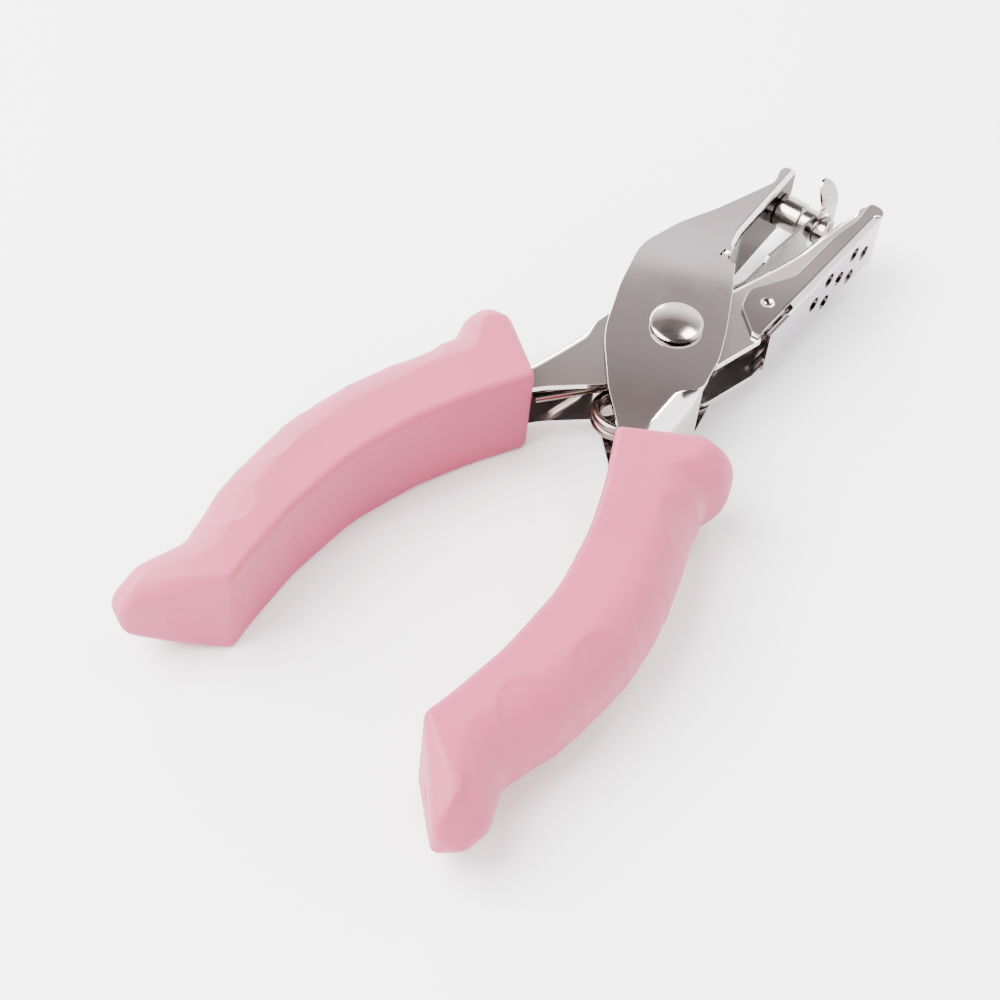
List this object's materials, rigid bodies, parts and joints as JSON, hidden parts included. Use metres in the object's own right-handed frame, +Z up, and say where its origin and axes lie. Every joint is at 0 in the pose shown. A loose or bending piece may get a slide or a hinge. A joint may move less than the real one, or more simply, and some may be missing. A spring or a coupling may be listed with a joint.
{
  "type": "hole punch",
  "caption": "Hand-held plier punch that cuts a round hole in paper, with nickel-plated levers, a hinged chip cover and soft pink grips.",
  "frame": {"origin": "bottom centre of the part's box: the middle of its footprint, on the surface it lies on", "axes": "+X from the handles to the jaws, +Z up, along the pivot rivet, from the side that lies down to the rivet's head; +Y towards the punch jaw's side"},
  "size_m": [0.164, 0.0776, 0.021],
  "materials": {
    "punch_lever_nickel": "bright nickel plate on pressed steel",
    "die_lever_nickel": "bright nickel plate on pressed steel",
    "rivet_nickel": "bright nickel plate",
    "pin_steel": "turned and plated steel",
    "stripper_spring_steel": "plated spring steel",
    "stripper_rivet_steel": "plated steel",
    "cover_nickel": "nickel plate, slightly satin",
    "spring_wire": "drawn wire, thinly plated",
    "die_grip_vinyl": "soft matte pink vinyl",
    "punch_grip_vinyl": "soft matte pink vinyl"
  },
  "bodies": {
    "die": {"die_lever": "die_lever_nickel", "pivot_rivet": "rivet_nickel", "stripper_plate": "stripper_spring_steel", "stripper_rivet": "stripper_rivet_steel", "torsion_spring": "spring_wire", "die_grip": "die_grip_vinyl"},
    "punch": {"punch_lever": "punch_lever_nickel", "punch_pin": "pin_steel", "punch_grip": "punch_grip_vinyl"},
    "cover": {"chip_cover": "cover_nickel"}
  },
  "joints": [
    {"name": "main_pivot", "type": "hinge", "parent": "die", "child": "punch", "pos_m": [0.02943, -0.0021, 0.0105], "axis": [0, 0, -1], "range_deg": [0, 8], "stiffness_Nm_per_rad": 1.5, "springref_deg": -22.92},
    {"name": "cover_hinge", "type": "hinge", "parent": "die", "child": "cover", "pos_m": [0.04593, -0.0117, 0.0105], "axis": [0, 0, -1], "range_deg": [0, 16]}
  ]
}
